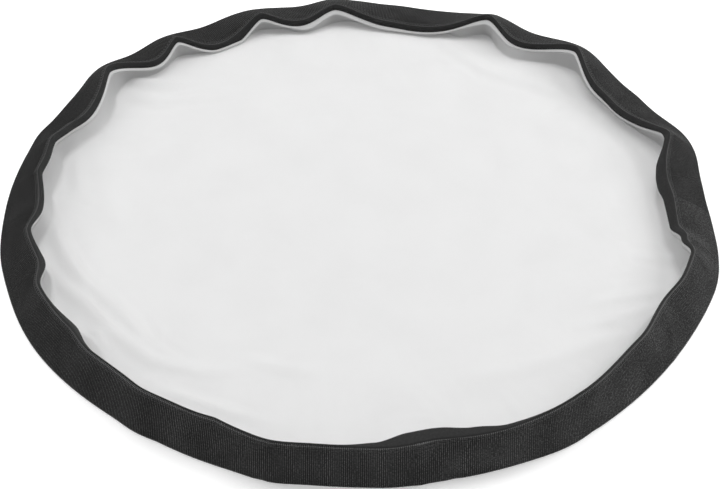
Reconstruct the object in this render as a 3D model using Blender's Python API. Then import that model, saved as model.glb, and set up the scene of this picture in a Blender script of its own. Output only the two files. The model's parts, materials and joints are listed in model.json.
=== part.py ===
"""Round slip-on diffuser cover: a disc of white diffusion cloth whose edge is sewn to a black
facing tape and a wide ribbed elastic band. The cover lies loose, cloth down: the band's free edge
rests on the floor all round, the band stands up from it and leans inwards, and its other edge is a
wavy ridge from which the facing tape, the doubled cloth hem and the cloth wall drop to the flat
disc. Each piece is a closed solid of its own. Metres, +Z up, floor at z = 0.

The shape is a loft of radial sections. A section is fixed by the band's lean at that azimuth
(0 = upright, 90 = flat on the floor), because the band keeps its width and its free edge keeps
close to one circle.
"""

import math

import bmesh
import bpy
from mathutils import Matrix, Vector

MM = 0.001

# ---- overall sizes -------------------------------------------------------------------------
RIM_RADIUS = 0.375        # free edge of the elastic band, where it rests on the floor
BAND_WIDTH = 0.050        # stock 50 mm woven elastic
BAND_THICKNESS = 1.6 * MM
BAND_BOW = 1.5 * MM       # the band bellies out a little between its two edges
FACING_THICKNESS = 0.8 * MM
HEM_THICKNESS = 0.8 * MM
CLOTH_THICKNESS = 0.6 * MM
THREAD_RADIUS = 0.35 * MM
GAP = 0.3 * MM            # clearance between sewn pieces
STATIONS = 144            # radial sections round the rim
CREASE_LIFT = 0.15 * MM   # the disc rises this much from its flat middle to its crease
DISC_FLAT = 270 * MM      # radius of the part of the disc that lies flat on the floor

# ---- how the band leans, degrees from upright, by azimuth (0 = +X, 90 = +Y) ------------------
# The front stands nearly upright, and the sides and the back have flopped inwards.
BASE_LEAN = (
    (0, 57), (8, 62), (13, 66), (30, 66), (60, 72), (80, 78), (120, 82), (150, 65), (182, 62),
    (197, 51), (206, 29), (216, 31), (224, 20), (240, 14), (262, 6), (290, 5),
    (305, 14), (320, 26), (331, 38), (337, 31), (343, 33), (348, 47), (353, 60),
)
# Puckers: the ridge is pulled up and out. (azimuth, half-width in degrees, lean taken off)
PUCKERS = (
    (15, 5, 24), (44.5, 6, 23), (64, 5.5, 21), (95, 6.5, 19), (110, 4.5, 22), (128, 4, 24),
    (144, 6, 23), (166, 6.5, 19), (175, 5, 15), (190.5, 6.5, 16), (248, 2.5, -4), (281, 5, -6),
)
# The free edge is not quite round. (azimuth, half-width in degrees, millimetres outwards)
RIM_BUMPS = (
    (3, 6, -6), (17, 6, 5), (32, 9, -8), (32, 3, 2), (48, 6, 10), (57, 5, -4), (65, 5, 9),
    (78, 8, -8), (86, 3, -2), (95, 4, 5), (101, 4, -4), (111, 5, 5), (120, 4, -3), (127, 5, 6),
    (135, 3, -2), (140, 6, 12), (160, 3, 2), (190, 6, 2), (210, 12, 2.5), (235, 14, -3),
    (235, 3, 2), (257, 4, 3.5), (300, 14, 3), (342, 9, 3), (10, 4, -2.2), (21, 4, 2.4),
    (66, 7, -2.4), (301, 5, 2.2), (345, 5, 1.8), (356, 4, -1.8), (275, 4, 1.6), (155, 4, -1.4),
)

# ---- what hangs from the ridge, by azimuth ----------------------------------------------------
FACING_WIDTH = (             # millimetres of facing tape that lie open between ridge and hem
    (0, 11), (4, 13), (10, 14), (14, 9), (17, 5), (22, 6), (60, 5), (108, 5), (115, 9), (120, 5),
    (150, 6), (172, 6), (183, 5), (190, 3), (198, 7), (206, 3), (215, 9), (222, 4), (228, 3),
    (266, 3), (272, 6), (277, 14), (282, 13), (287, 9), (292, 4), (300, 3), (344, 3), (348, 6),
    (353, 9),
)
FACING_DROP = (          # its slope below level, degrees
    (0, 45), (15, 55), (30, 60), (60, 68), (130, 68), (170, 62), (197, 45), (207, 62), (217, 40),
    (226, 60), (265, 45), (275, 4), (288, 4), (300, 50), (340, 60), (350, 45),
)
HEM_WIDTH = (            # millimetres of doubled cloth below the facing tape
    (0, 5), (40, 4), (46, 4), (55, 3), (59, 5), (65, 6), (70, 3), (78, 3), (86, 5), (94, 6),
    (100, 7), (105, 3), (110, 4), (119, 3), (129, 4), (140, 4), (165, 5), (190, 6), (220, 8),
    (300, 8), (340, 7),
)
HEM_DROP = (             # its slope below level: over 90 it is tucked back under the facing
    (0, 104), (28, 104), (42, 42), (150, 42), (162, 104), (335, 104),
)
WALL_RUN = (             # how far inside the hem the cloth meets the floor, millimetres
    (0, 6), (10, -4), (20, -10), (32, -10), (42, -8), (48, -2), (52, 2), (56, 4), (60, 2), (65, -9),
    (69, -2), (72, -10), (78, -5), (85, -7), (90, -12), (97, -4), (102, -4), (106, -10), (111, -8),
    (119, -4), (124, -7), (129, -5), (134, -5), (140, -4), (144, 4), (147, 8), (152, 10), (160, 8),
    (164, 4), (168, 10), (182, 10), (188, 4), (199, 6), (207, 12), (218, 24), (240, 33), (300, 33),
    (318, 24), (335, 14), (350, 8),
)

# ---- the lapped joint that closes the band into a loop -----------------------------------------
JOINT_AZIMUTH = 347.0
JOINT_LENGTH = 0.028      # overlap of the two ends along the band
JOINT_MARGIN = 5 * MM     # the tail stops this far from both edges of the band
LAP_THICKNESS = 1.4 * MM


def remove_everything():
    for thing in list(bpy.data.objects):
        bpy.data.objects.remove(thing, do_unlink=True)


def eased(table, azimuth):
    """Value of a table at an azimuth, eased between its rows and closed round the circle."""
    azimuth %= 360
    for i, (a, v) in enumerate(table):
        b, w = table[(i + 1) % len(table)]
        if b <= a:
            b += 360
        x = azimuth if azimuth >= a else azimuth + 360
        if a <= x <= b:
            t = (x - a) / (b - a)
            return v + (w - v) * t * t * (3 - 2 * t)
    return table[0][1]


def bumps(table, azimuth):
    total = 0.0
    for centre, half_width, height in table:
        d = (azimuth - centre + 180) % 360 - 180
        total += height * math.exp(-((d / half_width) ** 2))
    return total


def pinches(table, azimuth):
    """Like bumps, with a sharper crest."""
    total = 0.0
    for centre, half_width, height in table:
        d = abs((azimuth - centre + 180) % 360 - 180)
        total += height * math.exp(-((d / half_width) ** 1.5))
    return total


def rim(azimuth):
    return RIM_RADIUS + bumps(RIM_BUMPS, azimuth) * MM


class Section:
    """One radial section: every place in it is (distance from the axis, height)."""

    def __init__(self, azimuth):
        self.azimuth = azimuth
        lean = math.radians(eased(BASE_LEAN, azimuth) - pinches(PUCKERS, azimuth))
        self.up = Vector((-math.sin(lean), math.cos(lean)))        # along the band, foot to ridge
        self.out = Vector((math.cos(lean), math.sin(lean)))        # out of the band's ribbed face
        self.foot = Vector((rim(azimuth), BAND_THICKNESS * math.sin(lean)))
        self.ridge = self.foot + self.up * BAND_WIDTH
        inner_corner = self.ridge - self.out * BAND_THICKNESS
        drop = math.radians(eased(FACING_DROP, azimuth))
        self.facing_along = Vector((-math.cos(drop), -math.sin(drop)))
        self.facing_face = Vector((-math.sin(drop), math.cos(drop)))
        self.facing_start = inner_corner + self.facing_face * (1.5 * GAP + FACING_THICKNESS / 2)
        width = eased(FACING_WIDTH, azimuth) * MM
        spare = self.facing_start.y - 5.0 * MM
        width = min(width, spare / max(math.sin(drop), 0.05))
        self.facing_end = self.facing_start + self.facing_along * width
        drop = math.radians(eased(HEM_DROP, azimuth))
        hem = min(eased(HEM_WIDTH, azimuth) * MM, 0.45 * self.facing_end.y / math.sin(drop))
        self.hem_along = Vector((-math.cos(drop), -math.sin(drop)))
        self.hem_face = Vector((-math.sin(drop), math.cos(drop)))
        self.hem_start = self.facing_end + self.facing_along * (2 * GAP) + self.hem_along * GAP
        self.hem_end = self.hem_start + self.hem_along * hem
        self.wall_top = self.hem_end + self.hem_along * (2 * GAP)
        self.crease = Vector((self.wall_top.x - eased(WALL_RUN, azimuth) * MM, CLOTH_THICKNESS / 2))

    def on_band(self, height, stand_off):
        """A place on the ribbed face, so far up the band and so far proud of it."""
        bow = BAND_BOW * 4 * (height / BAND_WIDTH) * (1 - height / BAND_WIDTH)
        return self.foot + self.up * height + self.out * (stand_off + bow)


def place(section, point):
    a = math.radians(section.azimuth)
    return Vector((point.x * math.cos(a), point.x * math.sin(a), point.y))


def on_loft(sections, azimuth, height, stand_off):
    """A place on the faceted band between two of its sections."""
    step = 360.0 / len(sections)
    t = azimuth / step
    i = math.floor(t)
    a, b = sections[i % len(sections)], sections[(i + 1) % len(sections)]
    return place(a, a.on_band(height, stand_off)).lerp(place(b, b.on_band(height, stand_off)), t - i)


def strip_profile(start, along, face, width, thickness):
    half = face * thickness / 2
    end = start + along * width
    return [start + half, end + half, end - half, start - half]


def new_object(name, material, bm):
    bmesh.ops.recalc_face_normals(bm, faces=bm.faces)
    mesh = bpy.data.meshes.new(name)
    bm.to_mesh(mesh)
    bm.free()
    mesh.materials.append(material)
    thing = bpy.data.objects.new(name, mesh)
    bpy.context.collection.objects.link(thing)
    return thing


def loft(name, material, loops, closed):
    """A solid through a row of equal loops: a ring when closed, else capped at both ends."""
    bm = bmesh.new()
    rows = [[bm.verts.new(p) for p in loop] for loop in loops]
    count = len(rows[0])
    last = len(rows) if closed else len(rows) - 1
    for i in range(last):
        a, b = rows[i], rows[(i + 1) % len(rows)]
        for j in range(count):
            k = (j + 1) % count
            bm.faces.new((a[j], a[k], b[k], b[j]))
    if not closed:
        bm.faces.new(rows[0])
        bm.faces.new(list(reversed(rows[-1])))
    return new_object(name, material, bm)


def thread_loop(name, material, centres, normals):
    """A closed run of thread with a square cross-section, laid along a face."""
    loops = []
    count = len(centres)
    for i, (p, n) in enumerate(zip(centres, normals)):
        along = (centres[(i + 1) % count] - centres[i - 1]).normalized()
        n = (n - along * n.dot(along)).normalized()
        side = along.cross(n)
        loops.append([p + (n * c + side * s) * THREAD_RADIUS
                      for c, s in ((1, 1), (1, -1), (-1, -1), (-1, 1))])
    return loft(name, material, loops, True)


def material(name, colour, roughness, sheen=0.0):
    made = bpy.data.materials.new(name)
    made.use_nodes = True
    shader = made.node_tree.nodes["Principled BSDF"]
    shader.inputs["Base Color"].default_value = (*colour, 1.0)
    shader.inputs["Roughness"].default_value = roughness
    shader.inputs["Metallic"].default_value = 0.0
    shader.inputs["Sheen Weight"].default_value = sheen
    return made


def build_cloth(sections, finish):
    """The white disc: a wall that drops from the hem, a crease, and a flat floor."""
    half = CLOTH_THICKNESS / 2
    bm = bmesh.new()
    tops, undersides = [], []
    for s in sections:
        slope = (s.crease - s.wall_top).normalized()
        face = Vector((slope.y, -slope.x))      # the side towards the middle, also where the wall overhangs
        corner = (face + Vector((0, 1))).normalized()
        corner = corner / max(0.6, corner.y)
        # Only the middle of the disc touches the floor; the cloth lifts a little towards its crease.
        lifted = Vector((s.crease.x, s.crease.y + CREASE_LIFT))
        chain = [(s.wall_top, face), (lifted, corner),
                 (Vector((DISC_FLAT, half)), Vector((0, 1))),
                 (Vector((DISC_FLAT / 2, half)), Vector((0, 1)))]
        tops.append([bm.verts.new(place(s, p + n * half)) for p, n in chain])
        low = []
        for k, (p, n) in enumerate(chain):
            q = p - n * half
            low.append(bm.verts.new(place(s, Vector((q.x, max(q.y, CREASE_LIFT if k < 2 else 0.0))))))
        undersides.append(low)
    top, bottom = bm.verts.new((0, 0, CLOTH_THICKNESS)), bm.verts.new((0, 0, 0))
    count = len(sections)
    for i in range(count):
        j = (i + 1) % count
        for k in range(3):
            bm.faces.new((tops[i][k], tops[j][k], tops[j][k + 1], tops[i][k + 1]))
            bm.faces.new((undersides[i][k], undersides[i][k + 1], undersides[j][k + 1], undersides[j][k]))
        bm.faces.new((tops[i][3], tops[j][3], top))
        bm.faces.new((undersides[i][3], bottom, undersides[j][3]))
        bm.faces.new((tops[i][0], undersides[i][0], undersides[j][0], tops[j][0]))
    return new_object("diffusion_cloth", finish, bm)


def main():
    remove_everything()
    white = material("white_diffusion_cloth", (0.78, 0.78, 0.78), 0.85, 0.2)
    hem_white = material("white_doubled_cloth", (0.80, 0.80, 0.80), 0.85, 0.2)
    black_band = material("black_ribbed_elastic", (0.020, 0.020, 0.021), 0.8, 0.1)
    black_tape = material("black_facing_tape", (0.026, 0.026, 0.027), 0.65, 0.1)
    black_thread = material("black_thread", (0.035, 0.035, 0.036), 0.6)
    white_thread = material("white_thread", (0.75, 0.75, 0.75), 0.6)

    sections = [Section(360.0 * i / STATIONS) for i in range(STATIONS)]

    heights = [BAND_WIDTH * t for t in (0.0, 0.3, 0.65, 1.0)]
    band = [[place(s, s.on_band(h, 0.0)) for h in heights]
            + [place(s, s.on_band(h, -BAND_THICKNESS)) for h in reversed(heights)] for s in sections]
    loft("elastic_band", black_band, band, True)

    facing = [[place(s, p) for p in strip_profile(
        s.facing_start, s.facing_along, s.facing_face,
        (s.facing_end - s.facing_start).length, FACING_THICKNESS)] for s in sections]
    loft("facing_tape", black_tape, facing, True)

    hem = [[place(s, p) for p in strip_profile(
        s.hem_start, s.hem_along, s.hem_face,
        (s.hem_end - s.hem_start).length, HEM_THICKNESS)] for s in sections]
    loft("cloth_hem", hem_white, hem, True)

    build_cloth(sections, white)

    proud = GAP + THREAD_RADIUS * 1.4
    thread_loop("ridge_stitching", black_thread,
                [place(s, s.on_band(BAND_WIDTH - 3 * MM, proud + GAP)) for s in sections],
                [place(s, s.out) for s in sections])
    thread_loop("hem_stitching", white_thread,
                [place(s, s.hem_start + s.hem_along * 1.5 * MM
                       + s.hem_face * (HEM_THICKNESS / 2 + 2 * proud)) for s in sections],
                [place(s, s.hem_face) for s in sections])

    # The band's tail, lapped behind its own end, and the box of stitches that holds the lap.
    span = math.degrees(JOINT_LENGTH / RIM_RADIUS)
    steps = [JOINT_AZIMUTH + span * (t - 0.5) for t in (0, 0.25, 0.5, 0.75, 1)]
    lap_heights = [JOINT_MARGIN + (BAND_WIDTH - 2 * JOINT_MARGIN) * t for t in (0, 0.35, 0.65, 1)]
    behind = -BAND_THICKNESS - 3 * GAP
    lap = [[on_loft(sections, a, h, behind) for h in lap_heights]
           + [on_loft(sections, a, h, behind - LAP_THICKNESS) for h in reversed(lap_heights)]
           for a in steps]
    loft("band_joint_lap", black_band, lap, False)

    left, right = JOINT_AZIMUTH - 0.38 * span, JOINT_AZIMUTH + 0.38 * span
    low, high = JOINT_MARGIN + 2 * MM, BAND_WIDTH - JOINT_MARGIN - 4 * MM
    box = []
    for t in (0, 0.25, 0.5, 0.75):
        box.append((left + (right - left) * t, low))
    for t in (0, 0.25, 0.5, 0.75):
        box.append((right, low + (high - low) * t))
    for t in (0, 0.25, 0.5, 0.75):
        box.append((right + (left - right) * t, high))
    for t in (0, 0.25, 0.5, 0.75):
        box.append((left, high + (low - high) * t))
    thread_loop("joint_box_stitch", black_thread,
                [on_loft(sections, a, h, proud + 2 * GAP) for a, h in box],
                [place(Section(a), Section(a).out) for a, h in box])

    # Bring the outline's box to the middle: the rim is the widest part of the cover.
    foot = [place(s, s.foot) for s in sections]
    middle = Vector((sum(f([p.x for p in foot]) for f in (min, max)) / 2,
                     sum(f([p.y for p in foot]) for f in (min, max)) / 2, 0))
    shift = Matrix.Translation(-middle)
    for thing in bpy.data.objects:
        thing.data.transform(shift)


main()
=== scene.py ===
import json
import math

import bmesh
import bpy
import numpy as np
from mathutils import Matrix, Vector

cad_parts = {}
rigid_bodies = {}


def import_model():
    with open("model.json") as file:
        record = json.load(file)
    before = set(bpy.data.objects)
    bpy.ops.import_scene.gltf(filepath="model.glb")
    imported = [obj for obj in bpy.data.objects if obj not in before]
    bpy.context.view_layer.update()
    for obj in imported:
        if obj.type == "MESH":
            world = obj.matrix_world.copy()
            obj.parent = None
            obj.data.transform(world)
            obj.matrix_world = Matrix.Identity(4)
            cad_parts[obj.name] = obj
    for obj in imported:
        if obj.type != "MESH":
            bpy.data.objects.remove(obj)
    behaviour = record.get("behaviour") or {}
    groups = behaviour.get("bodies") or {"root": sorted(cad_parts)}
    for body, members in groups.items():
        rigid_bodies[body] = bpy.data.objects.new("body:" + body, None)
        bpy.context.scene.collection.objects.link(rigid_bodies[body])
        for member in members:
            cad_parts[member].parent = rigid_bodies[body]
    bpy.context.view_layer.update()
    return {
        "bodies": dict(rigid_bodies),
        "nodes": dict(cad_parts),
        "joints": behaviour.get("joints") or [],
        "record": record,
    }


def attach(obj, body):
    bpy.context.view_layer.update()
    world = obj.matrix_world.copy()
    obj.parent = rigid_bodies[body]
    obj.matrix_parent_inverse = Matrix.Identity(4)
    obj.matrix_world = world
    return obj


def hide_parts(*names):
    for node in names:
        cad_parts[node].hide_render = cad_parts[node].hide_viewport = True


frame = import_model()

MM = 0.001

# =============================================================================================
# The design, in the same words as the CAD: a loft of radial sections, each fixed by how far the
# band leans at that azimuth (0 = upright, 90 = flat on the floor).
# =============================================================================================
RIM_RADIUS = 0.375
BAND_WIDTH = 0.050
BAND_THICKNESS = 1.6 * MM
BAND_BOW = 1.5 * MM
FACING_THICKNESS = 0.8 * MM
HEM_THICKNESS = 0.8 * MM
CLOTH_LIFT = 0.35 * MM
STATIONS = 144
RIB_PITCH = 1.95 * MM
RIBS = int(round(2 * math.pi * RIM_RADIUS / RIB_PITCH))
JOINT_AZIMUTH = 347.0
JOINT_LENGTH = 0.028
JOINT_MARGIN = 5 * MM

BASE_LEAN = (
    (0, 57), (8, 62), (13, 66), (30, 66), (60, 72), (80, 78), (120, 82), (150, 65), (182, 62),
    (197, 51), (206, 29), (216, 31), (224, 20), (240, 14), (262, 6), (290, 5),
    (305, 14), (320, 26), (331, 38), (337, 31), (343, 33), (348, 47), (353, 60),
)
PUCKERS = (
    (15, 5, 24), (44.5, 6, 23), (64, 5.5, 21), (95, 6.5, 19), (110, 4.5, 22), (128, 4, 24),
    (144, 6, 23), (166, 6.5, 19), (175, 5, 15), (190.5, 6.5, 16), (248, 2.5, -4), (281, 5, -6),
)
RIM_BUMPS = (
    (3, 6, -6), (17, 6, 5), (32, 9, -8), (32, 3, 2), (48, 6, 10), (57, 5, -4), (65, 5, 9),
    (78, 8, -8), (86, 3, -2), (95, 4, 5), (101, 4, -4), (111, 5, 5), (120, 4, -3), (127, 5, 6),
    (135, 3, -2), (140, 6, 12), (160, 3, 2), (190, 6, 2), (210, 12, 2.5), (235, 14, -3),
    (235, 3, 2), (257, 4, 3.5), (300, 14, 3), (342, 9, 3), (10, 4, -2.2), (21, 4, 2.4),
    (66, 7, -2.4), (301, 5, 2.2), (345, 5, 1.8), (356, 4, -1.8), (275, 4, 1.6), (155, 4, -1.4),
)
FACING_WIDTH = (
    (0, 11), (4, 13), (10, 14), (14, 9), (17, 5), (22, 6), (60, 5), (108, 5), (115, 9), (120, 5),
    (150, 6), (172, 6), (183, 5), (190, 3), (198, 7), (206, 3), (215, 9), (222, 4), (228, 3),
    (266, 3), (272, 6), (277, 14), (282, 13), (287, 9), (292, 4), (300, 3), (344, 3), (348, 6),
    (353, 9),
)
FACING_DROP = (
    (0, 45), (15, 55), (30, 60), (60, 68), (130, 68), (170, 62), (197, 45), (207, 62), (217, 40),
    (226, 60), (265, 45), (275, 4), (288, 4), (300, 50), (340, 60), (350, 45),
)
HEM_WIDTH = (
    (0, 5), (40, 4), (46, 4), (55, 3), (59, 5), (65, 6), (70, 3), (78, 3), (86, 5), (94, 6),
    (100, 7), (105, 3), (110, 4), (119, 3), (129, 4), (140, 4), (165, 5), (190, 6), (220, 8),
    (300, 8), (340, 7),
)
HEM_DROP = (
    (0, 104), (28, 104), (42, 42), (150, 42), (162, 104), (335, 104),
)
WALL_RUN = (
    (0, 6), (10, -4), (20, -10), (32, -10), (42, -8), (48, -2), (52, 2), (56, 4), (60, 2), (65, -9),
    (69, -2), (72, -10), (78, -5), (85, -7), (90, -12), (97, -4), (102, -4), (106, -10), (111, -8),
    (119, -4), (124, -7), (129, -5), (134, -5), (140, -4), (144, 4), (147, 8), (152, 10), (160, 8),
    (164, 4), (168, 10), (182, 10), (188, 4), (199, 6), (207, 12), (218, 24), (240, 33), (300, 33),
    (318, 24), (335, 14), (350, 8),
)
GAP = 0.3 * MM
# Creases and hollows pressed into the band: start and end (azimuth, mm up the band), height and
# half-width in mm; a hollow has a negative height
CREASES = (
    ((174.0, 8), (175.6, 46), 1.1, 2.0), ((183.7, 10), (184.6, 43), 0.6, 3.0),
    ((198.6, 8), (201.6, 45), 0.5, 1.1), ((217.3, 7), (221.2, 45), 0.6, 2.0),
    ((8.2, 6), (5.6, 46), 0.7, 1.3), ((350.2, 4), (346.9, 45), 0.6, 1.1),
    ((278.6, 4), (278.8, 46), 1.3, 7), ((283.6, 4), (283.8, 46), -1.2, 6),
    ((256.0, 2), (258.5, 45), -0.9, 6), ((239.0, 6), (243.5, 44), -0.8, 7),
    ((306.0, 4), (301.0, 44), -0.8, 8), ((325.5, 6), (329.5, 45), 0.7, 6),
    ((132.5, 20), (121.0, 45), 0.9, 3.0), ((119.5, 34), (113.5, 44), 1.0, 2.2),
    ((103.0, 18), (98.0, 43), -0.8, 5), ((84.0, 14), (75.0, 43), 0.7, 5),
    ((56.0, 16), (49.0, 44), 0.8, 2.5), ((37.0, 10), (30.0, 42), -0.7, 5),
    ((152.0, 12), (158.0, 44), -0.8, 6),
)
SOFTNESS = ((0, 5), (38, 5), (46, 2), (140, 2), (150, 4), (200, 5), (215, 8), (335, 8))
# Soft folds lying in the cloth: plan positions along the crest in mm, crest height, half-width
FOLDS = (
    (((-330, 10), (-320, -12), (-309, -45), (-294, -78), (-272, -110), (-236, -151), (-201, -196), (-170, -214)), 6.4, 8),
    (((-318, -84), (-303, -107), (-274, -136), (-241, -179), (-201, -216), (-152, -230), (-100, -226)), 5.6, 8),
    (((-110, -214), (-68, -226), (-30, -226)), 2.4, 8),
    (((-264, 224), (-225, 216), (-180, 214)), 4.6, 6),
    (((-262, 197), (-225, 187), (-170, 196), (-128, 208)), 4.0, 8),
    (((-128, 208), (-118, 180), (-100, 110)), 1.8, 14),
    (((-306, 92), (-300, 52), (-288, 12)), 2.4, 8),
    (((-268, 50), (-257, 0), (-240, -45)), 2.0, 12),
    (((95, 298), (145, 242), (210, 212), (272, 172)), 3.6, 8),
    (((68, 290), (80, 230), (92, 180), (92, 110)), 2.4, 15),
    (((-78, 290), (-60, 222)), 1.8, 14),
    (((264, 138), (294, 84), (308, 16), (312, -40)), 2.2, 10),
    (((338, -76), (314, -70), (285, -64)), 2.6, 6),
    (((312, -117), (266, -128), (225, -136)), 3.6, 7),
    (((300, -138), (252, -160), (212, -170)), 3.4, 7),
    (((270, -176), (237, -190), (196, -210), (156, -229), (95, -238)), 3.4, 9),
    (((-195, -252), (-150, -272), (-105, -290), (-70, -300)), 3.2, 6),
    (((-262, -172), (-254, -190), (-244, -206)), 4.0, 5),
)


def eased(table, azimuth):
    a = np.array([row[0] for row in table] + [table[0][0] + 360.0])
    v = np.array([row[1] for row in table] + [table[0][1]], float)
    x = (np.asarray(azimuth, float) - a[0]) % 360.0 + a[0]
    i = np.clip(np.searchsorted(a, x, "right") - 1, 0, len(a) - 2)
    t = (x - a[i]) / (a[i + 1] - a[i])
    return v[i] + (v[i + 1] - v[i]) * t * t * (3 - 2 * t)


def bumps(table, azimuth):
    total = np.zeros_like(np.asarray(azimuth, float))
    for centre, half_width, height in table:
        d = (azimuth - centre + 180) % 360 - 180
        total = total + height * np.exp(-((d / half_width) ** 2))
    return total


def pinches(table, azimuth):
    total = np.zeros_like(np.asarray(azimuth, float))
    for centre, half_width, height in table:
        d = np.abs((azimuth - centre + 180) % 360 - 180)
        total = total + height * np.exp(-((d / half_width) ** 1.5))
    return total


def rim(azimuth):
    return RIM_RADIUS + bumps(RIM_BUMPS, azimuth) * MM


def rz(r, z):
    return np.stack([np.asarray(r, float), np.asarray(z, float) + 0 * np.asarray(r, float)], -1)


class Sections:
    """Radial sections at an array of azimuths; every place is (distance from axis, height)."""

    def __init__(self, azimuth):
        self.az = np.asarray(azimuth, float)
        lean = np.radians(eased(BASE_LEAN, self.az) - pinches(PUCKERS, self.az))
        self.lean = lean
        self.up = rz(-np.sin(lean), np.cos(lean))
        self.out = rz(np.cos(lean), np.sin(lean))
        self.foot = rz(rim(self.az), BAND_THICKNESS * np.sin(lean))
        self.ridge = self.foot + self.up * BAND_WIDTH
        corner = self.ridge - self.out * BAND_THICKNESS
        drop = np.radians(eased(FACING_DROP, self.az))
        self.facing_along = rz(-np.cos(drop), -np.sin(drop))
        self.facing_face = rz(-np.sin(drop), np.cos(drop))
        self.facing_start = corner + self.facing_face * (0.5 * GAP + FACING_THICKNESS / 2)
        width = eased(FACING_WIDTH, self.az) * MM
        spare = self.facing_start[:, 1] - 5.0 * MM
        width = np.minimum(width, spare / np.maximum(np.sin(drop), 0.05))
        self.facing_width = width
        self.facing_end = self.facing_start + self.facing_along * width[:, None]
        drop = np.radians(eased(HEM_DROP, self.az))
        hem = np.minimum(eased(HEM_WIDTH, self.az) * MM, 0.45 * self.facing_end[:, 1] / np.sin(drop))
        self.hem_width = hem
        self.hem_along = rz(-np.cos(drop), -np.sin(drop))
        self.hem_face = rz(-np.sin(drop), np.cos(drop))
        self.hem_start = self.facing_end - self.facing_face * 0.7 * MM
        self.hem_end = self.hem_start + self.hem_along * hem[:, None]
        self.wall_top = self.hem_end
        self.crease = rz(self.wall_top[:, 0] - eased(WALL_RUN, self.az) * MM, CLOTH_LIFT)

    def pressed(self, height):
        """How far the creases and a slight unevenness push the band out, metres."""
        up = height * 1000
        total = np.zeros_like(self.az)
        for (az0, h0), (az1, h1), rise, half_width in CREASES:
            run = np.array([math.radians(az1 - az0) * RIM_RADIUS * 1000, h1 - h0])
            x = np.radians((self.az - az0 + 180) % 360 - 180) * RIM_RADIUS * 1000
            t = np.clip((x * run[0] + (up - h0) * run[1]) / run.dot(run), 0, 1)
            gap = np.hypot(x - t * run[0], up - h0 - t * run[1])
            total = total + rise * np.exp(-((gap / half_width) ** 2))
        a = np.radians(self.az)
        uneven = (np.sin(31 * a + up / 9) + 0.7 * np.sin(53 * a - up / 6 + 1.1)
                  + 0.5 * np.sin(97 * a + up / 4.3 + 2.3)) * 0.11
        edge = min(1.0, up / 6, (50 - up) / 6 + 0.15)
        return (total + uneven * max(edge, 0.0)) * MM

    def on_band(self, height, stand_off):
        bow = BAND_BOW * 4 * (height / BAND_WIDTH) * (1 - height / BAND_WIDTH)
        push = np.asarray(stand_off) + bow + self.pressed(height)
        return self.foot + self.up * height + self.out * push[..., None]


_cad = 360.0 * np.arange(STATIONS) / STATIONS
_foot = rim(_cad)[:, None] * np.stack([np.cos(np.radians(_cad)), np.sin(np.radians(_cad))], -1)
MIDDLE = (_foot.max(0) + _foot.min(0)) / 2


def place(azimuth, point):
    """(..., 2) section places to (..., 3) points in the row frame."""
    a = np.radians(azimuth)
    a = a.reshape(a.shape + (1,) * (point.ndim - 1 - a.ndim))
    return np.stack([point[..., 0] * np.cos(a) - MIDDLE[0],
                     point[..., 0] * np.sin(a) - MIDDLE[1],
                     point[..., 1] + 0 * a], -1)


def direction(azimuth, vec):
    a = np.radians(azimuth)
    return np.stack([vec[..., 0] * np.cos(a), vec[..., 0] * np.sin(a), vec[..., 1] + 0 * a], -1)


# =============================================================================================
# Mesh helpers
# =============================================================================================
def mesh_object(name, verts, faces, uv=None, smooth=True):
    mesh = bpy.data.meshes.new(name)
    verts = np.asarray(verts, np.float32).reshape(-1, 3)
    faces = [np.asarray(f, np.int32) for f in faces]
    counts = np.concatenate([np.full(len(f), f.shape[1], np.int32) for f in faces])
    loops = np.concatenate([f.reshape(-1) for f in faces])
    mesh.vertices.add(len(verts))
    mesh.vertices.foreach_set("co", verts.reshape(-1))
    mesh.loops.add(len(loops))
    mesh.loops.foreach_set("vertex_index", loops)
    mesh.polygons.add(len(counts))
    starts = np.concatenate([[0], np.cumsum(counts)[:-1]]).astype(np.int32)
    mesh.polygons.foreach_set("loop_start", starts)
    mesh.polygons.foreach_set("use_smooth", np.full(len(counts), smooth))
    if uv is not None:
        layer = mesh.uv_layers.new(name="weave")
        layer.data.foreach_set("uv", np.asarray(uv, np.float32).reshape(-1))
    mesh.update(calc_edges=True)
    mesh.validate()
    thing = bpy.data.objects.new(name, mesh)
    bpy.context.scene.collection.objects.link(thing)
    return thing


def ring_grid(name, points, u=None, v=None, wrap_v=True):
    """A surface on an (N, M) grid of points, closed round the rim; wrap_v closes its section."""
    n, m = points.shape[:2]
    i = np.arange(n)[:, None]
    j = np.arange(m if wrap_v else m - 1)[None, :]
    i2, j2 = (i + 1) % n, (j + 1) % m
    quads = np.stack([i * m + j, i * m + j2, i2 * m + j2, i2 * m + j], -1).reshape(-1, 4)
    uv = None
    if u is not None:
        u = np.append(u, u[0] + (u[1] - u[0]) * n)
        v = np.append(v, v[0] if not wrap_v else v[0] + 1e-9)
        shape = (n, m if wrap_v else m - 1)
        uu = np.stack([np.broadcast_to(u[i], shape), np.broadcast_to(u[i], shape),
                       np.broadcast_to(u[i + 1], shape), np.broadcast_to(u[i + 1], shape)], -1)
        vv = np.stack([np.broadcast_to(v[j], shape), np.broadcast_to(v[j + 1], shape),
                       np.broadcast_to(v[j + 1], shape), np.broadcast_to(v[j], shape)], -1)
        uv = np.stack([uu, vv], -1).reshape(-1, 2)
    return mesh_object(name, points.reshape(-1, 3), [quads], uv)


def outward(thing):
    """Turns the faces of a closed mesh outwards."""
    bm = bmesh.new()
    bm.from_mesh(thing.data)
    bmesh.ops.recalc_face_normals(bm, faces=bm.faces)
    bm.to_mesh(thing.data)
    bm.free()
    thing.data.update()


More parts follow.
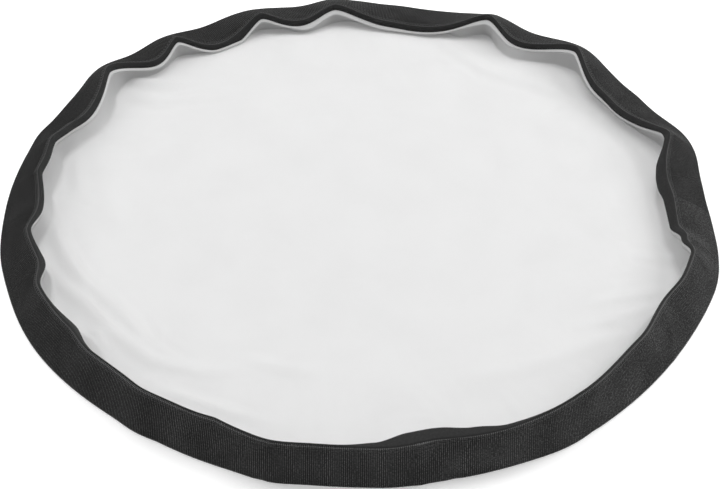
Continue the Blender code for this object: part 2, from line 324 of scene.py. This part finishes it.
def stitches(name, centres, along, normal, length, width, height, rise=None):
    """One small rounded bar of thread for each stitch."""
    profile = np.array([[-1.0, 0.35], [-0.72, 0.85], [0.0, 1.0], [0.72, 0.85], [1.0, 0.35]])
    sides = 6
    ring = np.arange(sides) / sides * 2 * math.pi
    t = np.repeat(profile[:, 0], sides)
    c = np.concatenate([np.cos(ring) * k for _, k in profile])
    s = np.concatenate([np.sin(ring) * k for _, k in profile])
    side = np.cross(along, normal)
    side /= np.linalg.norm(side, axis=1, keepdims=True)
    verts = (centres[:, None, :] + along[:, None, :] * (t * length / 2)[None, :, None]
             + side[:, None, :] * (c * width / 2)[None, :, None]
             + normal[:, None, :] * (s * height / 2)[None, :, None])
    per = len(t)
    quads = []
    for k in range(len(profile) - 1):
        for q in range(sides):
            p = (q + 1) % sides
            quads.append([k * sides + q, k * sides + p, (k + 1) * sides + p, (k + 1) * sides + q])
    quads = np.array(quads)
    caps = np.array([list(range(sides))[::-1], [(len(profile) - 1) * sides + q for q in range(sides)]])
    base = (np.arange(len(centres)) * per)[:, None, None]
    thing = mesh_object(name, verts.reshape(-1, 3),
                        [(base + quads[None]).reshape(-1, 4), (base + caps[None]).reshape(-1, sides)])
    outward(thing)
    return thing


# =============================================================================================
# Materials
# =============================================================================================
def node(tree, kind, **values):
    made = tree.nodes.new(kind)
    for key, value in values.items():
        if key.startswith("in_"):
            slot = key[3:]
            made.inputs[int(slot) if slot.isdigit() else slot.replace("_", " ")].default_value = value
        else:
            setattr(made, key, value)
    return made


def maths(tree, operation, a, b=None, c=None, clamp=False):
    made = tree.nodes.new("ShaderNodeMath")
    made.operation = operation
    made.use_clamp = clamp
    for slot, value in enumerate((a, b, c)):
        if value is None:
            continue
        if isinstance(value, (int, float)):
            made.inputs[slot].default_value = value
        else:
            tree.links.new(value, made.inputs[slot])
    return made.outputs[0]


def fresh(name):
    made = bpy.data.materials.new(name)
    made.use_nodes = True
    return made, made.node_tree, made.node_tree.nodes["Principled BSDF"]


def ramp(tree, value, stops):
    made = tree.nodes.new("ShaderNodeValToRGB")
    bar = made.color_ramp
    while len(bar.elements) < len(stops):
        bar.elements.new(0.5)
    for element, (at, grey) in zip(bar.elements, stops):
        element.position = at
        element.color = (grey, grey, grey, 1) if not hasattr(grey, "__len__") else (*grey, 1)
    tree.links.new(value, made.inputs[0])
    return made.outputs[0]


def weave_uv(tree):
    uv = node(tree, "ShaderNodeUVMap", uv_map="weave")
    split = tree.nodes.new("ShaderNodeSeparateXYZ")
    tree.links.new(uv.outputs[0], split.inputs[0])
    return uv.outputs[0], split.outputs[0], split.outputs[1]


def elastic_material():
    """Black woven elastic: cross ribs, warp yarns between them, slightly lighter selvedges."""
    made, tree, shader = fresh("ribbed_elastic")
    uv, u, v = weave_uv(tree)                      # millimetres along and across the band
    rib = maths(tree, "COSINE", maths(tree, "MULTIPLY", u, 2 * math.pi / (RIB_PITCH * 1000)))
    yarn = maths(tree, "COSINE", maths(tree, "MULTIPLY", v, 2 * math.pi / 0.9))
    noise = node(tree, "ShaderNodeTexNoise", in_Scale=0.55, in_Detail=4.0, in_Roughness=0.6)
    tree.links.new(uv, noise.inputs["Vector"])
    fuzz = node(tree, "ShaderNodeTexNoise", in_Scale=2.6, in_Detail=3.0, in_Roughness=0.7)
    tree.links.new(uv, fuzz.inputs["Vector"])
    broad = node(tree, "ShaderNodeTexNoise", in_Scale=0.03, in_Detail=2.0)
    tree.links.new(uv, broad.inputs["Vector"])
    weave = maths(tree, "ADD", maths(tree, "MULTIPLY", maths(tree, "MULTIPLY", rib, noise.outputs["Fac"]), 0.32), maths(tree, "MULTIPLY", maths(tree, "MULTIPLY", yarn, rib), 0.09))
    weave = maths(tree, "ADD", weave, maths(tree, "MULTIPLY", noise.outputs["Fac"], 0.55))
    weave = maths(tree, "ADD", weave, maths(tree, "MULTIPLY", fuzz.outputs["Fac"], 0.45))
    weave = maths(tree, "ADD", weave, maths(tree, "MULTIPLY", broad.outputs["Fac"], 0.2))
    weave = maths(tree, "SUBTRACT", weave, 0.10, clamp=True)
    edge = maths(tree, "ABSOLUTE", maths(tree, "SUBTRACT", v, 25.0))
    edge = maths(tree, "GREATER_THAN", edge, 23.4)
    value = maths(tree, "ADD", weave, maths(tree, "MULTIPLY", edge, 0.22), clamp=True)
    colour = ramp(tree, value, ((0.28, 0.003), (0.47, 0.0105), (0.62, 0.028), (0.82, 0.100)))
    # painted light and shade: the upright stretch at the front, which gets less light, is painted lighter, and the
    # flat stretch at the back, which gets more light, is painted darker
    painted_light_by_azimuth = maths(tree, "COSINE", maths(tree, "SUBTRACT", maths(tree, "MULTIPLY", u, 1 / 375.0), 1.5 * math.pi))
    painted_light_gain = node(tree, "ShaderNodeVectorMath", operation="SCALE")
    tree.links.new(colour, painted_light_gain.inputs[0])
    tree.links.new(maths(tree, "ADD", maths(tree, "MULTIPLY", painted_light_by_azimuth, 0.26), 1.0), painted_light_gain.inputs["Scale"])
    tree.links.new(painted_light_gain.outputs[0], shader.inputs["Base Color"])
    shader.inputs["Roughness"].default_value = 0.85
    shader.inputs["Specular IOR Level"].default_value = 0.12
    shader.inputs["Sheen Weight"].default_value = 0.03
    shader.inputs["Sheen Roughness"].default_value = 0.5
    bump = node(tree, "ShaderNodeBump", in_Strength=0.8, in_Distance=0.0005)
    tree.links.new(weave, bump.inputs["Height"])
    tree.links.new(bump.outputs[0], shader.inputs["Normal"])
    return made


def tape_material():
    """Black facing tape: fine plain weave, smoother and a touch lighter than the elastic."""
    made, tree, shader = fresh("facing_tape_weave")
    uv, u, v = weave_uv(tree)
    warp = maths(tree, "COSINE", maths(tree, "MULTIPLY", u, 2 * math.pi / 0.55))
    weft = maths(tree, "COSINE", maths(tree, "MULTIPLY", v, 2 * math.pi / 0.55))
    cell = maths(tree, "MULTIPLY", warp, weft)
    noise = node(tree, "ShaderNodeTexNoise", in_Scale=0.4, in_Detail=4.0, in_Roughness=0.6)
    tree.links.new(uv, noise.inputs["Vector"])
    value = maths(tree, "ADD", maths(tree, "MULTIPLY", cell, 0.12), noise.outputs["Fac"], clamp=True)
    colour = ramp(tree, value, ((0.2, 0.008), (0.55, 0.014), (0.9, 0.028)))
    tree.links.new(colour, shader.inputs["Base Color"])
    shader.inputs["Roughness"].default_value = 0.75
    shader.inputs["Specular IOR Level"].default_value = 0.2
    shader.inputs["Sheen Weight"].default_value = 0.04
    bump = node(tree, "ShaderNodeBump", in_Strength=0.35, in_Distance=0.0002)
    tree.links.new(value, bump.inputs["Height"])
    tree.links.new(bump.outputs[0], shader.inputs["Normal"])
    return made


def cloth_material(name, grey, through, weave_mm=0.7):
    """White woven diffusion cloth. Part of the light goes through it, so it darkens over black."""
    made, tree, shader = fresh(name)
    uv, u, v = weave_uv(tree)
    warp = maths(tree, "COSINE", maths(tree, "MULTIPLY", u, 2 * math.pi / weave_mm))
    weft = maths(tree, "COSINE", maths(tree, "MULTIPLY", v, 2 * math.pi / weave_mm))
    cell = maths(tree, "MULTIPLY", warp, weft)
    slub = node(tree, "ShaderNodeTexNoise", in_Scale=0.02, in_Detail=5.0, in_Roughness=0.55)
    tree.links.new(uv, slub.inputs["Vector"])
    fine = node(tree, "ShaderNodeTexNoise", in_Scale=0.8, in_Detail=2.0)
    tree.links.new(uv, fine.inputs["Vector"])
    value = maths(tree, "ADD", maths(tree, "MULTIPLY", cell, 0.06), maths(tree, "MULTIPLY", slub.outputs["Fac"], 0.6))
    value = maths(tree, "ADD", value, maths(tree, "MULTIPLY", fine.outputs["Fac"], 0.34), clamp=True)
    colour = ramp(tree, value, ((0.2, grey * 0.975), (0.5, grey), (0.8, grey * 1.01)))
    tree.links.new(colour, shader.inputs["Base Color"])
    shader.inputs["Roughness"].default_value = 0.85
    shader.inputs["Specular IOR Level"].default_value = 0.2
    shader.inputs["Sheen Weight"].default_value = 0.05
    bump = node(tree, "ShaderNodeBump", in_Strength=0.25, in_Distance=0.00012)
    tree.links.new(value, bump.inputs["Height"])
    tree.links.new(bump.outputs[0], shader.inputs["Normal"])
    glow = tree.nodes.new("ShaderNodeBsdfTranslucent")
    tree.links.new(colour, glow.inputs["Color"])
    tree.links.new(bump.outputs[0], glow.inputs["Normal"])
    mix = node(tree, "ShaderNodeMixShader", in_0=through)
    tree.links.new(shader.outputs[0], mix.inputs[1])
    tree.links.new(glow.outputs[0], mix.inputs[2])
    tree.links.new(mix.outputs[0], tree.nodes["Material Output"].inputs["Surface"])
    return made


def thread_material(name, grey):
    made, tree, shader = fresh(name)
    coord = tree.nodes.new("ShaderNodeTexCoord")
    noise = node(tree, "ShaderNodeTexNoise", in_Scale=900.0, in_Detail=3.0)
    tree.links.new(coord.outputs["Object"], noise.inputs["Vector"])
    colour = ramp(tree, noise.outputs["Fac"], ((0.3, grey * 0.75), (0.7, grey * 1.1)))
    tree.links.new(colour, shader.inputs["Base Color"])
    shader.inputs["Roughness"].default_value = 0.6
    shader.inputs["Sheen Weight"].default_value = 0.1
    bump = node(tree, "ShaderNodeBump", in_Strength=0.4, in_Distance=0.0001)
    tree.links.new(noise.outputs["Fac"], bump.inputs["Height"])
    tree.links.new(bump.outputs[0], shader.inputs["Normal"])
    return made


ELASTIC = elastic_material()
TAPE = tape_material()
CLOTH = cloth_material("diffusion_weave", 0.855, 0.72)
# the hem's grey is set lower than the cloth's as painted shade, for the hem strips that lie in the band's shadow at
# the back
HEM = cloth_material("doubled_weave", 0.74, 0.45)
BLACK_THREAD = thread_material("black_thread_twist", 0.03)
WHITE_THREAD = thread_material("white_thread_twist", 0.80)


def finish_piece(thing, material, slot, *nodes):
    thing.data.materials.clear()
    thing.data.materials.append(material)
    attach(thing, "root")
    if nodes:
        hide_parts(*nodes)
    return thing


# =============================================================================================
# Elastic band
# =============================================================================================
def build_band():
    count = RIBS * 4
    az = 360.0 * np.arange(count) / count
    s = Sections(az)
    phase = 2 * math.pi * np.arange(count) / 4
    rib = 0.5 + 0.5 * np.cos(phase)
    outer = np.array([0.0, 0.7, 1.8, 2.4, 4, 8, 14, 21, 28, 35, 41, 45, 47.4, 48.2, 49.3, 50.0])
    inner = np.array([49.6, 47.5, 36, 25, 14, 2.5, 0.4])
    rows = []
    for h in outer:
        e = min(h, 50 - h)
        body = 1.0 if 2.2 < e else 0.35
        lift = (-0.45 if e < 0.1 else 0.05 if e < 1.0 else 0.25 if e < 2.0 else 0.0)
        rows.append(s.on_band(h * MM, (rib * 0.40 * body - 0.20 + lift) * MM))
    for h in inner:
        e = min(h, 50 - h)
        rows.append(s.on_band(h * MM, -BAND_THICKNESS + (-rib * 0.2 + (0.45 if e < 0.5 else 0.1)) * MM))
    pts = place(az, np.stack(rows, 1))
    u = az / 360 * 2 * math.pi * RIM_RADIUS * 1000
    v = np.concatenate([outer, inner])
    thing = ring_grid("ribbed_band", pts, u, v)
    outward(thing)
    return finish_piece(thing, ELASTIC, "black_ribbed_elastic", "elastic_band")


# =============================================================================================
# Facing tape and hem
# =============================================================================================
def strip_rows(start, along, face, width, thickness, steps, sag=0.0):
    """Section rows of a tape: round the top face, the far edge, the under face and the near edge."""
    t = np.linspace(0, 1, steps)
    rows, places = [], []
    half = thickness / 2
    for side, steps_along in ((1, t), (-1, t[::-1])):
        for x in steps_along:
            edge = 0.55 if x in (0.0, 1.0) else 1.0
            rows.append(start + along * (width * x)[:, None]
                        + face * (side * half * edge + sag * 4 * x * (1 - x)))
            places.append(x)
    return rows, np.array(places)


def build_facing():
    az = np.arange(0, 360, 0.25)
    s = Sections(az)
    lap = BAND_THICKNESS * 1.05                  # the tape is sewn over the cut edge of the band
    rows, places = strip_rows(s.facing_start - s.facing_along * lap, s.facing_along, s.facing_face,
                              s.facing_width + lap, FACING_THICKNESS, 9, 0.5 * MM)
    # under the lap the tape is pulled down hard on the band's cut edge
    for k in (-1, -2):
        rows[k] = rows[k] - s.facing_face * 0.7 * MM
    thing = ring_grid("inner_facing", place(az, np.stack(rows, 1)),
                      az / 360 * 2 * math.pi * 345, places * 12)
    outward(thing)
    return finish_piece(thing, TAPE, "black_facing_tape", "facing_tape")


def build_hem():
    az = np.arange(0, 360, 0.25)
    s = Sections(az)
    rows, places = strip_rows(s.hem_start, s.hem_along, s.hem_face, s.hem_width,
                              HEM_THICKNESS, 7, 0.3 * MM)
    thing = ring_grid("doubled_hem", place(az, np.stack(rows, 1)),
                      az / 360 * 2 * math.pi * 335, places * 8)
    outward(thing)
    return finish_piece(thing, HEM, "white_doubled_cloth", "cloth_hem")


# =============================================================================================
# Cloth
# =============================================================================================
COLUMNS = 480
INNER = 0.17


def fold_height(x, y):
    """Height of the soft folds in the cloth over a plan position, metres."""
    x, y = x * 1000, y * 1000
    total = np.zeros_like(x)
    for points, height, half_width in FOLDS:
        p = np.array(points, float)
        lengths = np.linalg.norm(np.diff(p, axis=0), axis=1)
        whole = lengths.sum()
        best = np.full_like(x, 1e9)
        along = np.zeros_like(x)
        before = 0.0
        for k, length in enumerate(lengths):
            d = p[k + 1] - p[k]
            t = np.clip(((x - p[k][0]) * d[0] + (y - p[k][1]) * d[1]) / length ** 2, 0, 1)
            gap = np.hypot(x - p[k][0] - t * d[0], y - p[k][1] - t * d[1])
            nearer = gap < best
            best = np.where(nearer, gap, best)
            along = np.where(nearer, (before + t * length) / whole, along)
            before += length
        taper = np.clip(np.minimum(along / 0.25 + 0.25, (1 - along) / 0.45 + 0.05), 0, 1)
        total = total + height * MM * np.exp(-((best / half_width) ** 2)) * taper
    waves = (np.sin(x / 41 + 0.9 * np.sin(y / 57)) * np.sin(y / 63 + 1.3) + 1) * 0.35
    waves = waves + (np.sin(x / 23 - y / 31 + 0.4) + 1) * 0.10
    return total + waves * MM


def drape_points():
    """The cloth from the hem to the inner ring, as it is laid before it is simulated."""
    az = 360.0 * np.arange(COLUMNS) / COLUMNS
    s = Sections(az)
    top = s.wall_top - s.hem_along * 0.6 * MM
    crease = s.crease
    wall = np.linalg.norm(top - crease, axis=1)
    soft = np.minimum(eased(SOFTNESS, az) * MM, wall * 0.48)[:, None]
    toward_top = (top - crease) / wall[:, None]
    a = crease + toward_top * soft
    b = crease - np.array([1.0, 0.0]) * soft
    rows = [top + (a - top) * x for x in np.linspace(0, 1, 8)[:-1]]
    rows += [(1 - x) ** 2 * a + 2 * x * (1 - x) * crease + x * x * b for x in np.linspace(0, 1, 7)]
    inner = np.full_like(b, CLOTH_LIFT)
    inner[:, 0] = INNER
    rows += [b + (inner - b) * x for x in np.linspace(0, 1, 36)[1:]]
    pts = place(az, np.stack(rows, 1))
    rise = fold_height(pts[..., 0], pts[..., 1])
    ramp_in = np.clip(np.arange(pts.shape[1]) / 6.0, 0, 1)[None, :]
    low = np.clip(1.2 - pts[..., 2] / 0.02, 0, 1)
    pts[..., 2] += rise * ramp_in * low
    return az, pts


def relax(thing, n, m):
    """Lets the laid cloth settle on the floor under its own weight, held by its hem."""
    scene = bpy.context.scene
    pins = thing.vertex_groups.new(name="hem")
    held = [i * m + j for i in range(n) for j in (0, 1, m - 1)]
    at = np.empty(n * m * 3, np.float32)
    thing.data.vertices.foreach_get("co", at)
    rise = fold_height(at[0::3], at[1::3]) / MM          # the pressed folds hold part of their shape
    for level in (0.2, 0.4, 0.6, 0.8):
        some = np.nonzero((rise > level * 3) & (rise <= level * 3 + (0.6 if level < 0.8 else 99)))[0]
        pins.add([int(k) for k in some], level, "REPLACE")
    pins.add(held, 1.0, "REPLACE")
    plate = bpy.data.meshes.new("settling_floor")
    plate.from_pydata([(-1, -1, -0.0012), (1, -1, -0.0012), (1, 1, -0.0012), (-1, 1, -0.0012)], [], [(0, 1, 2, 3)])
    ground = bpy.data.objects.new("settling_floor", plate)
    scene.collection.objects.link(ground)
    hit = ground.modifiers.new("hit", "COLLISION")
    ground.collision.thickness_outer = 0.0005
    ground.collision.cloth_friction = 4.0
    mod = thing.modifiers.new("settle", "CLOTH")
    c = mod.settings
    c.quality = 5
    c.mass = 0.06
    c.tension_stiffness = 25
    c.compression_stiffness = 12
    c.shear_stiffness = 4
    c.bending_stiffness = 3.0
    c.air_damping = 3
    c.tension_damping = c.compression_damping = c.shear_damping = 15
    c.shrink_min = -0.001
    c.effector_weights.gravity = 0.3
    c.vertex_group_mass = "hem"
    c.pin_stiffness = 5
    mod.collision_settings.collision_quality = 2
    mod.collision_settings.distance_min = 0.001
    mod.collision_settings.use_self_collision = False
    frames = 24
    mod.point_cache.frame_start, mod.point_cache.frame_end = 1, frames
    scene.frame_start, scene.frame_end = 1, frames
    for frame in range(1, frames + 1):
        scene.frame_set(frame)
    settled = thing.evaluated_get(bpy.context.evaluated_depsgraph_get())
    co = np.empty(n * m * 3, np.float32)
    settled.data.vertices.foreach_get("co", co)
    scene.frame_set(1)
    thing.modifiers.clear()
    bpy.data.objects.remove(ground, do_unlink=True)
    return co.reshape(n, m, 3)


def build_cloth():
    az, pts = drape_points()
    n, m = pts.shape[:2]
    co = pts
    laid = ring_grid("laid_cloth", pts, wrap_v=False)
    co = relax(laid, n, m).astype(float)
    bpy.data.objects.remove(laid, do_unlink=True)
    # ripples that gather against the held inner ring are combed out
    inner_rows = np.clip((np.arange(m) - (m - 30)) / 22.0, 0, 1)[None, :]
    smooth = sum(np.roll(co[..., 2], k, 0) for k in range(-8, 9)) / 17
    co[..., 2] += (smooth - co[..., 2]) * inner_rows
    co[..., 2] = np.maximum(co[..., 2], CLOTH_LIFT * 0.9)
    # the flat middle, as rings down to a small centre fan
    centre = np.array([-MIDDLE[0], -MIDDLE[1], 0.0])
    inner = co[:, -1]
    rings = []
    for k in (0.93, 0.86, 0.78, 0.69, 0.6, 0.5, 0.4, 0.3, 0.2, 0.1):
        ring = centre + (inner - centre) * k
        ring[:, 2] = CLOTH_LIFT + fold_height(ring[:, 0], ring[:, 1])
        rings.append(ring)
    grid = np.concatenate([co, np.stack(rings, 1)], 1)
    m2 = grid.shape[1]
    tip = centre.copy()
    tip[2] = CLOTH_LIFT + fold_height(centre[:1], centre[1:2])[0]
    verts = np.concatenate([grid.reshape(-1, 3), [tip]])
    i = np.arange(n)[:, None]
    j = np.arange(m2 - 1)[None, :]
    i2 = (i + 1) % n
    quads = np.stack([i * m2 + j, i * m2 + j + 1, i2 * m2 + j + 1, i2 * m2 + j], -1).reshape(-1, 4)
    k = np.arange(n)
    fan = np.stack([k * m2 + m2 - 1, np.full(n, n * m2), ((k + 1) % n) * m2 + m2 - 1], -1)
    loops = np.concatenate([quads.reshape(-1), fan.reshape(-1)])
    # the weave is laid out flat: length down the cloth, so the wall keeps its scale
    step = np.linalg.norm(np.diff(grid, axis=1), axis=2).mean(0)
    reach = np.concatenate([[0], np.cumsum(step[::-1])])[::-1] * 1000
    a = np.radians(az)
    flat = np.stack([reach[None, :] * np.cos(a)[:, None], reach[None, :] * np.sin(a)[:, None]], -1)
    uv = np.concatenate([flat.reshape(-1, 2), [[0, 0]]])[loops]
    cloth = mesh_object("draped_cloth", verts, [quads, fan], uv)
    bm = bmesh.new()
    bm.from_mesh(cloth.data)
    bmesh.ops.recalc_face_normals(bm, faces=bm.faces)
    if sum(f.normal.z for f in bm.faces) < 0:
        bmesh.ops.reverse_faces(bm, faces=bm.faces)
    bm.to_mesh(cloth.data)
    bm.free()
    solid = cloth.modifiers.new("thickness", "SOLIDIFY")
    solid.thickness = 0.3 * MM
    solid.offset = 0.0
    bpy.context.view_layer.update()
    baked = bpy.data.meshes.new_from_object(cloth.evaluated_get(bpy.context.evaluated_depsgraph_get()))
    cloth.modifiers.clear()
    cloth.data = baked
    for p in cloth.data.polygons:
        p.use_smooth = True
    return finish_piece(cloth, CLOTH, "white_diffusion_cloth", "diffusion_cloth")


# =============================================================================================
# Stitching and the sewn joint
# =============================================================================================
def run_of_stitches(name, height_on, pitch, length, width, thick, material, slot, radius, *nodes):
    count = int(2 * math.pi * radius / pitch)
    az = 360.0 * np.arange(count) / count
    s = Sections(az)
    point, normal = height_on(s)
    centres = place(az, point)
    ahead = Sections(az + 0.15)
    along = place(az + 0.15, height_on(ahead)[0]) - centres
    along /= np.linalg.norm(along, axis=1, keepdims=True)
    face = direction(az, normal)
    return centres, along, face


def build_stitching():
    made = []
    rows = []
    for offset in (2.6, 4.4):
        rows.append(run_of_stitches("", lambda s, o=offset: (
            s.on_band((50 - o) * MM, 0.28 * MM), s.out), 3.4 * MM, 0, 0, 0, None, "", 0.355))
    c, a, f = (np.concatenate(x) for x in zip(*rows))
    made.append(finish_piece(stitches("ridge_seam", c, a, f, 2.7 * MM, 0.5 * MM, 0.45 * MM),
                             BLACK_THREAD, "black_thread", "ridge_stitching"))
    c, a, f = run_of_stitches("", lambda s: (
        s.hem_start + s.hem_along * 1.6 * MM + s.hem_face * (HEM_THICKNESS / 2 + 0.35 * MM), s.hem_face),
        3.0 * MM, 0, 0, 0, None, "", 0.335)
    made.append(finish_piece(stitches("hem_seam", c, a, f, 2.4 * MM, 0.42 * MM, 0.4 * MM),
                             WHITE_THREAD, "white_thread", "hem_stitching"))
    return made


def build_joint():
    span = math.degrees(JOINT_LENGTH / RIM_RADIUS)
    az = JOINT_AZIMUTH + span * (np.linspace(0, 1, 29) - 0.5)
    s = Sections(az)
    heights = np.linspace(JOINT_MARGIN, BAND_WIDTH - JOINT_MARGIN, 15)
    base = -BAND_THICKNESS - 0.35 * MM
    rows = [s.on_band(h, base) for h in heights] + [s.on_band(h, base - 1.3 * MM) for h in heights[::-1]]
    pts = place(az, np.stack(rows, 1))
    n, m = pts.shape[:2]
    i = np.arange(n - 1)[:, None]
    j = np.arange(m)[None, :]
    j2 = (j + 1) % m
    quads = np.stack([i * m + j, i * m + j2, (i + 1) * m + j2, (i + 1) * m + j], -1).reshape(-1, 4)
    half = m // 2
    caps = []
    for k in range(half - 1):
        for row, flip in ((0, True), (n - 1, False)):
            q = [row * m + k, row * m + k + 1, row * m + m - 2 - k, row * m + m - 1 - k]
            caps.append(q[::-1] if flip else q)
    faces = np.concatenate([quads, np.array(caps)])
    u_of = np.repeat(az / 360 * 2 * math.pi * RIM_RADIUS * 1000, m)
    v_of = np.tile(np.concatenate([heights, heights[::-1]]) * 1000, n)
    uv = np.stack([u_of, v_of], -1)[faces.reshape(-1)]
    tail = mesh_object("lapped_tail", pts.reshape(-1, 3), [faces], uv)
    outward(tail)
    finish_piece(tail, ELASTIC, "black_ribbed_elastic", "band_joint_lap")
    centres, along, face = [], [], []
    inset = 0.38 * span
    low, high = JOINT_MARGIN + 2 * MM, BAND_WIDTH - JOINT_MARGIN - 4 * MM

    def run(azs, hs):
        s = Sections(azs)
        p = place(azs, np.stack([s.on_band(hs[k], 0.3 * MM)[k] for k in range(len(azs))]))
        d = np.diff(p, axis=0)
        centres.append((p[1:] + p[:-1]) / 2)
        along.append(d / np.linalg.norm(d, axis=1, keepdims=True))
        face.append(direction(azs, s.out)[1:])

    a0, a1 = JOINT_AZIMUTH - inset, JOINT_AZIMUTH + inset
    run(np.linspace(a0, a1, 8), np.full(8, low))
    run(np.linspace(a0, a1, 8), np.full(8, high))
    run(np.full(12, a0), np.linspace(low, high, 12))
    run(np.full(12, a1), np.linspace(low, high, 12))
    c, a, f = (np.concatenate(x) for x in (centres, along, face))
    finish_piece(stitches("joint_seam", c, a, f, 2.4 * MM, 0.5 * MM, 0.45 * MM),
                 BLACK_THREAD, "black_thread", "joint_box_stitch")
    return tail


# =============================================================================================
# Studio
# =============================================================================================
def studio():
    scene = bpy.context.scene
    scene.view_settings.view_transform = "Standard"
    mesh = bpy.data.meshes.new("floor")
    size = 12.0
    mesh.from_pydata([(-size, -size, -0.0004), (size, -size, -0.0004), (size, size, -0.0004), (-size, size, -0.0004)],
                     [], [(0, 1, 2, 3)])
    floor = bpy.data.objects.new("floor", mesh)
    scene.collection.objects.link(floor)
    made, tree, shader = fresh("floor_paper")
    shader.inputs["Base Color"].default_value = (0.95, 0.95, 0.95, 1)
    shader.inputs["Roughness"].default_value = 0.9
    shader.inputs["Specular IOR Level"].default_value = 0.1
    shader.inputs["Emission Color"].default_value = (1, 1, 1, 1)
    shader.inputs["Emission Strength"].default_value = 0.17
    mesh.materials.append(made)

    world = bpy.data.worlds.new("studio")
    scene.world = world
    world.use_nodes = True
    back = world.node_tree.nodes["Background"]
    back.inputs["Color"].default_value = (1, 1, 1, 1)
    back.inputs["Strength"].default_value = 0.42

    def softbox(name, place_at, target, size_x, size_y, power):
        data = bpy.data.lights.new(name, "AREA")
        data.shape = "RECTANGLE"
        data.size, data.size_y, data.energy = size_x, size_y, power
        lamp = bpy.data.objects.new(name, data)
        lamp.location = place_at
        lamp.rotation_euler = (Vector(target) - Vector(place_at)).to_track_quat("-Z", "Y").to_euler()
        scene.collection.objects.link(lamp)

    softbox("overhead", (0.0, 0.9, 2.8), (0, 0, 0), 2.4, 1.6, 44)
    softbox("right_side", (2.2, 0.7, 1.7), (0, 0, 0), 1.6, 1.4, 44)
    softbox("left_side", (-2.2, 0.5, 1.7), (0, 0, 0), 1.6, 1.4, 26)
    softbox("front_fill", (0.0, -2.6, 1.5), (0, 0, 0), 2.4, 1.2, 13)

    cam_data = bpy.data.cameras.new("camera")
    cam = bpy.data.objects.new("camera", cam_data)
    scene.collection.objects.link(cam)
    elevation = math.radians(42.37)
    distance = 6 * RIM_RADIUS
    target = Vector((-MIDDLE[0], -MIDDLE[1], 0))
    cam.location = target + Vector((0, -math.cos(elevation), math.sin(elevation))) * distance
    cam.rotation_euler = (target - cam.location).to_track_quat("-Z", "Y").to_euler()
    cam_data.sensor_width = 36.0
    cam_data.lens = 2131.65 / 720 * 36.0
    cam_data.shift_y = -(244.5 - 214.96) / 720
    cam_data.shift_x = (360 - 359.7) / 720
    cam_data.clip_start, cam_data.clip_end = 0.05, 50
    scene.camera = cam


studio()
band = build_band()
facing = build_facing()
hem = build_hem()
cloth = build_cloth()
seams = build_stitching()
tail = build_joint()
